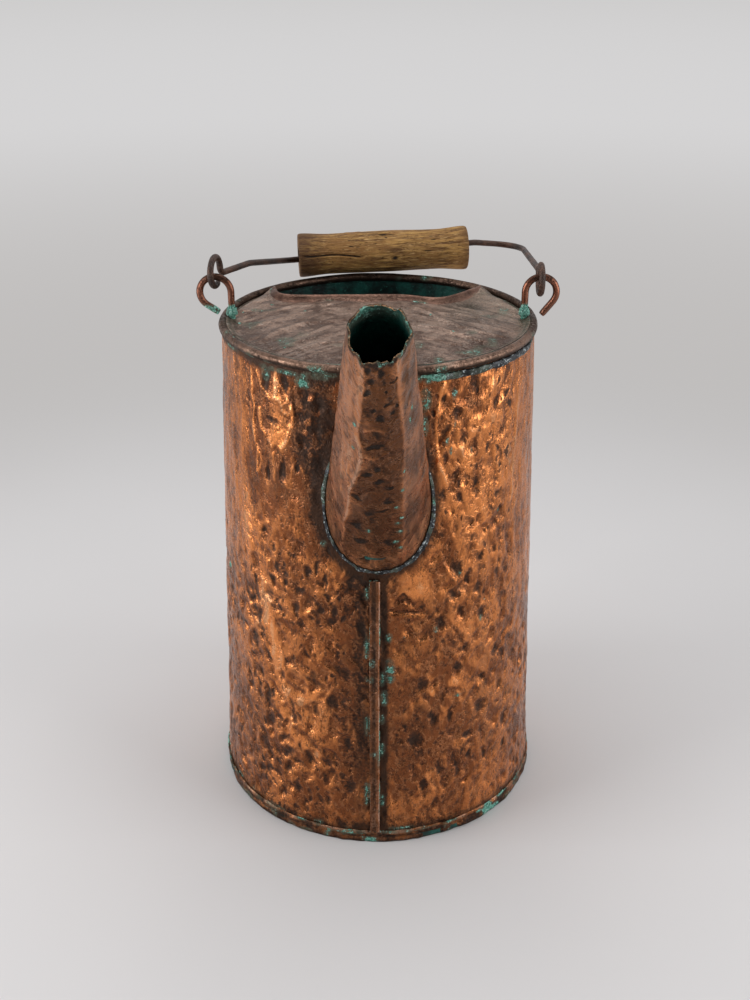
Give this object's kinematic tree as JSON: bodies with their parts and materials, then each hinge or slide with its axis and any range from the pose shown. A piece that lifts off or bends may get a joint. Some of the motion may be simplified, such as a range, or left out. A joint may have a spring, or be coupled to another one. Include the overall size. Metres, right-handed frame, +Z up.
{
  "type": "copper water can",
  "caption": "Flared copper can with a straight cone spout, a hooded top with its mouth at the back, and a wire bail with a turned wooden grip, for pouring water or coffee.",
  "frame": {"origin": "centre of the base's underside, on the table", "axes": "+Z up; the spout points to -Y, the mouth and the folded bail are at +Y, and +X is to the right of someone who faces the spout"},
  "size_m": [0.2215, 0.3302, 0.385],
  "materials": {
    "hammered_copper": "hammered copper, tarnished",
    "dull_copper": "matte oxidised copper",
    "dark_copper": "dark tarnished copper",
    "grey_solder": "dull tin solder",
    "green_solder": "tin solder under verdigris",
    "old_iron": "dark rusted wire",
    "old_wood": "weathered, unvarnished"
  },
  "bodies": {
    "can": {"body_wall": "hammered_copper", "side_seam_strip": "hammered_copper", "base_pan": "hammered_copper", "base_solder_seam": "grey_solder", "rim_wire": "old_iron", "rim_solder": "grey_solder", "top_hood": "dull_copper", "mouth_collar": "dark_copper", "spout_cone": "dark_copper", "spout_solder": "grey_solder", "left_ear": "dark_copper", "right_ear": "dark_copper", "left_ear_solder": "green_solder", "right_ear_solder": "green_solder"},
    "bail": {"bail_wire": "old_iron"},
    "grip": {"wood_grip": "old_wood"}
  },
  "joints": [
    {"name": "bail_swing", "type": "hinge", "parent": "can", "child": "bail", "pos_m": [0, 0, 0.3444], "axis": [1, 0, 0], "range_deg": [0, 191]},
    {"name": "grip_spin", "type": "hinge", "parent": "bail", "child": "grip", "pos_m": [0.0033, 0.0975, 0.33496], "axis": [0.994, 0.108, 0.0201], "continuous": true}
  ]
}
